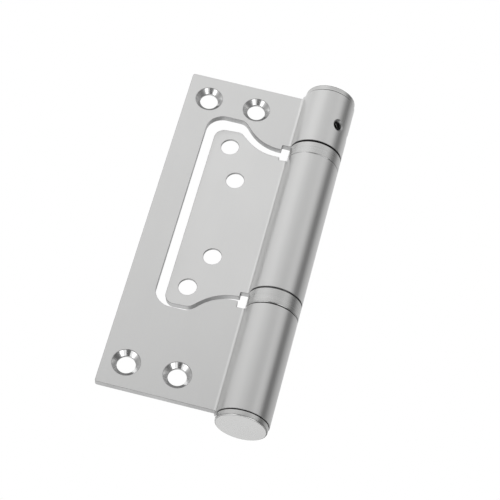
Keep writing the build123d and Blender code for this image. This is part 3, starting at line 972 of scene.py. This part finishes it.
def coil_group():
    """Round wire wound round the hinge axis."""
    group, given, result = node_group("coil", {
        "Coil radius": "NodeSocketFloat",
        "Wire radius": "NodeSocketFloat",
        "Turns": "NodeSocketFloat",
        "Foot": "NodeSocketFloat",
        "Rise": "NodeSocketFloat",
        "Material": "NodeSocketMaterial",
    })
    path = add(group, "GeometryNodeCurveSpiral", {
        "Resolution": COIL_STEPS,
        "Rotations": given["Turns"],
        "Start Radius": given["Coil radius"],
        "End Radius": given["Coil radius"],
        "Height": given["Rise"],
        "Reverse": True,
    })
    section = add(
        group,
        "GeometryNodeCurvePrimitiveCircle",
        {"Resolution": WIRE_SIDES, "Radius": given["Wire radius"]},
    )
    wire = add(
        group,
        "GeometryNodeCurveToMesh",
        {
            "Curve": raised(group, path.outputs["Curve"], given["Foot"]),
            "Profile Curve": section.outputs["Curve"],
            "Fill Caps": True,
        },
    )
    finish_group(group, wire.outputs["Mesh"], given["Material"], result)
    return group


def make_spring(node, name, group, wire, turns, material):
    """A coil in its CAD node's place."""
    low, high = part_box(node)
    piece = plain_piece(name, group, {
        "Coil radius": (high.x - low.x) / 2 - wire,
        "Wire radius": wire,
        "Turns": turns,
        "Foot": low.z + wire,
        "Rise": high.z - low.z - 2 * wire,
        "Material": material,
    })
    piece.data.shade_smooth()
    piece.data.set_sharp_from_angle(angle=SMOOTH_ANGLE)
    stand_for(piece, node)
    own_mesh(piece)


class HINGE_OT_springs(bpy.types.Operator):
    """Return spring under the piston and check valve spring inside it"""

    bl_idname = "hinge.springs"
    bl_label = "Springs"

    def execute(self, context):
        shape = context.scene.hinge_shape
        colour = context.scene.hinge_finish.spring_colour
        wire = plain_metal("spring_wire", colour, roughness=0.28, contrast=0.12)
        group = coil_group()
        make_spring(
            "return_spring", "coiled_return_spring", group,
            shape.return_wire, shape.return_turns, wire,
        )
        make_spring(
            "check_spring", "coiled_check_spring", group,
            shape.check_wire, shape.check_turns, wire,
        )
        return {"FINISHED"}


def node_slots():
    """Material slot of each CAD node, read from the record's sub-parts."""
    return {part["node"]: part["material_slot"] for part in frame["record"]["subparts"]}


class HINGE_OT_inner_finishes(bpy.types.Operator):
    """Finishes of every CAD node that stays in view"""

    bl_idname = "hinge.inner_finishes"
    bl_label = "Inner parts"

    def execute(self, context):
        materials = slot_materials(context.scene.hinge_finish)
        slots = node_slots()
        for name, piece in frame["nodes"].items():
            if piece.hide_render:
                continue
            piece.data.materials.clear()
            piece.data.materials.append(materials[slots[name]])
        return {"FINISHED"}


SENSOR_WIDTH = 36.0
CLIP_START = 0.01
CLIP_END = 20.0


def camera_matrix(place, aim, roll):
    """Stands the camera at place, looking at aim and rolled about that line."""
    sight = aim - place
    turn = sight.to_track_quat("-Z", "Y").to_matrix().to_4x4()
    return Matrix.Translation(place) @ turn @ Matrix.Rotation(roll, 4, "Z")


def make_camera(stage):
    """The scene's camera, with the settings' place, aim, roll and lens."""
    camera = new_object("camera", bpy.data.cameras.new("camera"))
    camera.data.lens = stage.lens
    camera.data.sensor_width = SENSOR_WIDTH
    camera.data.clip_start = CLIP_START
    camera.data.clip_end = CLIP_END
    camera.matrix_world = camera_matrix(
        Vector(stage.camera_place), Vector(stage.camera_aim), stage.camera_roll
    )
    bpy.context.scene.camera = camera


def background_share(tree):
    """1 for rays that show the backdrop: from the camera, off metal and through glass."""
    path = add(tree, "ShaderNodeLightPath")
    seen = path.outputs["Is Camera Ray"]
    for other in ("Is Glossy Ray", "Is Transmission Ray"):
        seen = maths(tree, "MAXIMUM", seen, path.outputs[other])
    return seen


def make_world(stage):
    """Even light from all sides, pure white where the backdrop shows."""
    world = bpy.data.worlds.new("studio")
    bpy.context.scene.world = world
    world.use_nodes = True
    tree = world.node_tree
    back = tree.nodes["Background"]
    strength = spread(tree, background_share(tree), stage.world_light, 1.0)
    tree.links.new(strength, back.inputs["Strength"])
    back.inputs["Color"].default_value = WHITE


FLOOR_SIZE = 3.0
FLOOR_RISE = 0.1 * MM
FLOOR_COLOUR = (0.9, 0.9, 0.9, 1.0)


def bare_material(name):
    """A material without a shader yet, its tree and its surface socket."""
    material = bpy.data.materials.new(name)
    material.use_nodes = True
    tree = material.node_tree
    tree.nodes.remove(tree.nodes["Principled BSDF"])
    return material, tree, tree.nodes["Material Output"].inputs["Surface"]


def make_floor(stage):
    """Pale floor a hair above the lower end face, clear from below and in the metal."""
    half = FLOOR_SIZE / 2
    mesh = bpy.data.meshes.new("floor")
    corners = [(-half, -half), (half, -half), (half, half), (-half, half)]
    mesh.from_pydata([(x, y, FLOOR_RISE) for x, y in corners], [], [(0, 1, 2, 3)])
    floor = new_object("floor", mesh)
    material, tree, surface = bare_material("pale_floor")
    paint = add(tree, "ShaderNodeBsdfDiffuse", {"Color": FLOOR_COLOUR})
    glow_amount = spread(tree, background_share(tree), 0.0, stage.floor_glow)
    glow = add(tree, "ShaderNodeEmission", {"Strength": glow_amount})
    lit = add(
        tree, "ShaderNodeAddShader", {0: paint.outputs["BSDF"], 1: glow.outputs["Emission"]}
    )
    clear = add(tree, "ShaderNodeBsdfTransparent")
    below = add(tree, "ShaderNodeNewGeometry").outputs["Backfacing"]
    mirrored = add(tree, "ShaderNodeLightPath").outputs["Is Glossy Ray"]
    unseen = maths(tree, "MAXIMUM", below, mirrored)
    choice = add(
        tree,
        "ShaderNodeMixShader",
        {0: unseen, 1: lit.outputs["Shader"], 2: clear.outputs["BSDF"]},
    )
    tree.links.new(choice.outputs["Shader"], surface)
    mesh.materials.append(material)


# The sweep's glow: (azimuth, strength), (elevation, share), and its turn at each elevation.
SWEEP_STOPS = (
    (-140, 0.86), (-105, 0.90), (-75, 0.97), (-49, 1.05), (-35, 1.00), (-21, 0.80), (-5, 0.79),
    (11, 0.76), (25, 0.76), (40, 0.86), (53, 0.72), (62, 0.50), (71, 0.30), (80, 0.19),
    (90, 0.20), (99, 0.36), (115, 0.62), (131, 0.70), (145, 0.76), (160, 0.80), (175, 0.85),
)
SWEEP_LIFTS = (
    (-56, 0.80), (-44, 0.80), (-34, 0.70), (-24, 0.50), (-14, 0.36), (0, 0.42), (14, 0.66),
    (24, 0.97), (31, 1.00), (38, 1.12), (48, 1.00), (62, 0.80),
)
SWEEP_TWIST = ((-56, 0), (33.5, 0), (36, 12), (62, 12))
SWEEP_STEP = 2.0
SWEEP_DISTANCE = 1.0
CARD_DISTANCE = 0.9
CARDS = {
    "low_flag": dict(azimuth=-8, elevation=-62, width=0.42, height=0.45, strength=0.12),
    "left_spark": dict(azimuth=-54, elevation=-42, width=0.4, height=0.3, strength=1.6),
    "right_spark": dict(azimuth=48, elevation=-42, width=0.4, height=0.3, strength=1.6),
    "left_fill": dict(azimuth=-22, elevation=22.5, width=0.55, height=0.13, strength=0.93),
    "right_fill": dict(azimuth=50, elevation=20.5, width=0.55, height=0.10, strength=1.0),
    "high_flag": dict(azimuth=188, elevation=62, width=1.0, height=0.45, strength=0.20),
    "left_flag": dict(azimuth=-118, elevation=60, width=0.9, height=0.4, strength=0.15),
    "right_flag": dict(azimuth=122, elevation=63, width=0.8, height=0.4, strength=0.20),
    "top_flag": dict(azimuth=0, elevation=90, width=0.9, height=0.8, strength=0.25),
}
STAGE_AIM = Vector((0.0, 0.0, 65 * MM))


def between(stops, place):
    """The value at that place on a line of (place, value) stops."""
    for (low, first), (high, second) in zip(stops, stops[1:]):
        if place <= high:
            return first + (second - first) * (place - low) / (high - low)
    return stops[-1][1]


def direction(azimuth, elevation):
    """Unit vector; azimuth in degrees from -Y towards +X."""
    turn, lift = math.radians(azimuth), math.radians(elevation)
    level = math.cos(lift)
    return Vector((math.sin(turn) * level, -math.cos(turn) * level, math.sin(lift)))


def glow_material(name, strength_of):
    """Plain emission; strength_of(tree) gives its strength as a value or a socket."""
    material, tree, surface = bare_material(name)
    glow = add(tree, "ShaderNodeEmission", {"Strength": strength_of(tree)})
    tree.links.new(glow.outputs["Emission"], surface)
    return material


def stage_piece(name, mesh, material):
    """Puts a lamp-like surface on the stage that metal mirrors and the camera doesn't see."""
    mesh.materials.append(material)
    piece = new_object(name, mesh)
    piece.visible_camera = False


def make_sweep():
    """Curved diffuser round the hinge; its glow changes along the curve and with height."""
    first, last = SWEEP_STOPS[0][0], SWEEP_STOPS[-1][0]
    low, high = SWEEP_LIFTS[0][0], SWEEP_LIFTS[-1][0]
    columns = round((last - first) / SWEEP_STEP)
    rows = round((high - low) / SWEEP_STEP)
    points, glows = [], []
    for i in range(columns + 1):
        azimuth = first + (last - first) * i / columns
        for j in range(rows + 1):
            elevation = low + (high - low) * j / rows
            points.append(STAGE_AIM + direction(azimuth, elevation) * SWEEP_DISTANCE)
            turned = azimuth - between(SWEEP_TWIST, elevation)
            glows.append(between(SWEEP_STOPS, turned) * between(SWEEP_LIFTS, elevation))
    faces = []
    for i in range(columns):
        for j in range(rows):
            corner = i * (rows + 1) + j
            faces.append((corner, corner + rows + 1, corner + rows + 2, corner + 1))
    mesh = bpy.data.meshes.new("sweep")
    mesh.from_pydata(points, [], faces)
    glow = mesh.attributes.new("glow", "FLOAT", "POINT")
    glow.data.foreach_set("value", glows)
    material = glow_material(
        "sweep",
        lambda tree: add(tree, "ShaderNodeAttribute", attribute_name="glow").outputs["Fac"],
    )
    stage_piece("sweep", mesh, material)


def make_card(name, azimuth, elevation, width, height, strength):
    """A flat panel that faces the hinge."""
    towards = direction(azimuth, elevation)
    placing = Matrix.Translation(STAGE_AIM + towards * CARD_DISTANCE)
    placing = placing @ towards.to_track_quat("Z", "Y").to_matrix().to_4x4()
    corners = [(-1, -1), (1, -1), (1, 1), (-1, 1)]
    mesh = bpy.data.meshes.new(name)
    mesh.from_pydata(
        [placing @ Vector((x * width / 2, y * height / 2, 0)) for x, y in corners],
        [],
        [(0, 1, 2, 3)],
    )
    stage_piece(name, mesh, glow_material(name, lambda tree: strength))


class HINGE_OT_stage(bpy.types.Operator):
    """Camera, pale floor, backdrop and studio light"""

    bl_idname = "hinge.stage"
    bl_label = "Stage"

    def execute(self, context):
        stage = context.scene.hinge_stage
        make_camera(stage)
        make_world(stage)
        make_floor(stage)
        make_sweep()
        for name, card in CARDS.items():
            make_card(name, **card)
        context.scene.view_settings.view_transform = "Standard"
        return {"FINISHED"}


OPERATORS = (
    HINGE_OT_leaves,
    HINGE_OT_turned_parts,
    HINGE_OT_thrust_balls,
    HINGE_OT_set_screws,
    HINGE_OT_springs,
    HINGE_OT_inner_finishes,
    HINGE_OT_stage,
)


class HINGE_PT_pieces(bpy.types.Panel):
    """Lists the hinge's operators"""

    bl_label = "Hinge"
    bl_idname = "HINGE_PT_pieces"
    bl_space_type = "VIEW_3D"
    bl_region_type = "UI"
    bl_category = "Hinge"

    def draw(self, context):
        for operator in OPERATORS:
            self.layout.operator(operator.bl_idname)


SETTINGS = {
    "hinge_finish": HingeFinishSettings,
    "hinge_shape": HingeShapeSettings,
    "hinge_stage": HingeStageSettings,
}
CLASSES = (*SETTINGS.values(), *OPERATORS, HINGE_PT_pieces)


def register():
    """Makes the settings, operators and panel known to Blender."""
    for made in CLASSES:
        bpy.utils.register_class(made)
    for name, group in SETTINGS.items():
        setattr(bpy.types.Scene, name, PointerProperty(type=group))


def unregister():
    """Takes back what register() added."""
    for name in SETTINGS:
        delattr(bpy.types.Scene, name)
    for made in reversed(CLASSES):
        bpy.utils.unregister_class(made)


def main():
    """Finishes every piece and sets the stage."""
    register()
    bpy.ops.hinge.leaves()
    bpy.ops.hinge.turned_parts()
    bpy.ops.hinge.thrust_balls()
    bpy.ops.hinge.set_screws()
    bpy.ops.hinge.springs()
    bpy.ops.hinge.inner_finishes()
    bpy.ops.hinge.stage()


if __name__ == "__main__":
    main()
